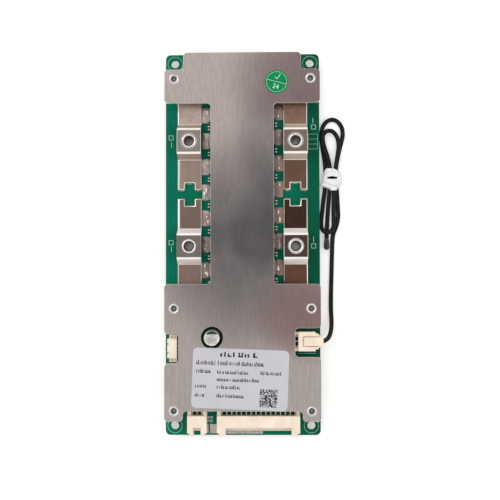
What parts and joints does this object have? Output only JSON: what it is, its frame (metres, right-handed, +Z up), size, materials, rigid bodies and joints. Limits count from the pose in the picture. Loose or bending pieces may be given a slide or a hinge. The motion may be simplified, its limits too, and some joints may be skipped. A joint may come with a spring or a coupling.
{
  "type": "battery management board",
  "caption": "Flat protection and balancing board for a battery pack: power transistors under a notched heat spreader, raised bolt terminals, side-entry headers and a sensor lead.",
  "frame": {"origin": "on the surface it stands on, under the centre of the board", "axes": "+X towards the battery terminals, +Y along the board away from the balance header, +Z up from the board to the heat spreader"},
  "size_m": [0.0936, 0.1976, 0.0146],
  "materials": {
    "solder_mask": "satin solder mask over glass laminate",
    "spreader_metal": "brushed along the length",
    "plated_steel": "bright zinc plating",
    "plated_copper": "nickel plated copper strip",
    "mould_compound": "matt moulding compound",
    "tinned_metal": "tin plated and soldered",
    "gap_pad": "soft silicone pad",
    "cream_nylon": "moulded connector nylon",
    "can_metal": "drawn can, satin",
    "seat_plastic": "moulded seat",
    "chip_ceramic": "ceramic and film",
    "ferrite": "pressed ferrite",
    "label_film": "satin silver label film",
    "seal_film": "green vinyl sticker",
    "lead_jacket": "black jacket",
    "tie_tape": "white cloth tape",
    "bead_resin": "dipped resin"
  },
  "bodies": {
    "root": {"circuit_board": "solder_mask", "heat_spreader": "spreader_metal", "spreader_standoffs": "plated_steel", "spreader_screws": "plated_steel", "thermal_pad_left": "gap_pad", "thermal_pad_right": "gap_pad", "charge_mosfet_frames": "tinned_metal", "battery_mosfet_frames": "tinned_metal", "bay_resistors": "chip_ceramic", "gate_resistors": "chip_ceramic", "current_shunts": "chip_ceramic", "clamp_diodes": "mould_compound", "gate_drivers": "mould_compound", "monitor_chip": "mould_compound", "control_chip": "mould_compound", "chip_legs": "tinned_metal", "balance_resistors": "chip_ceramic", "balance_transistors": "mould_compound", "regulator_inductor": "ferrite", "port_isolators": "mould_compound", "capacitor_base": "seat_plastic", "capacitor_can": "can_metal", "port_header": "cream_nylon", "port_pins": "tinned_metal", "balance_header": "cream_nylon", "balance_pins": "tinned_metal", "aux_header": "cream_nylon", "aux_pins": "tinned_metal", "sensor_header": "cream_nylon", "sensor_pins": "tinned_metal", "rating_label": "label_film", "inspection_sticker": "seal_film", "sensor_plug": "cream_nylon", "sensor_lead": "lead_jacket", "sensor_lead_hank": "lead_jacket", "sensor_lead_tail": "lead_jacket", "lead_tie": "tie_tape", "thermistor_bead": "bead_resin", "charge_terminal_upper": "plated_copper", "charge_nut_upper": "plated_steel", "charge_terminal_lower": "plated_copper", "charge_nut_lower": "plated_steel", "charge_mosfet_1": "mould_compound", "charge_mosfet_2": "mould_compound", "charge_mosfet_3": "mould_compound", "charge_mosfet_4": "mould_compound", "charge_mosfet_5": "mould_compound", "charge_mosfet_6": "mould_compound", "charge_mosfet_7": "mould_compound", "battery_terminal_upper": "plated_copper", "battery_nut_upper": "plated_steel", "battery_terminal_lower": "plated_copper", "battery_nut_lower": "plated_steel", "battery_mosfet_1": "mould_compound", "battery_mosfet_2": "mould_compound", "battery_mosfet_3": "mould_compound", "battery_mosfet_4": "mould_compound", "battery_mosfet_5": "mould_compound", "battery_mosfet_6": "mould_compound", "battery_mosfet_7": "mould_compound"}
  },
  "joints": []
}
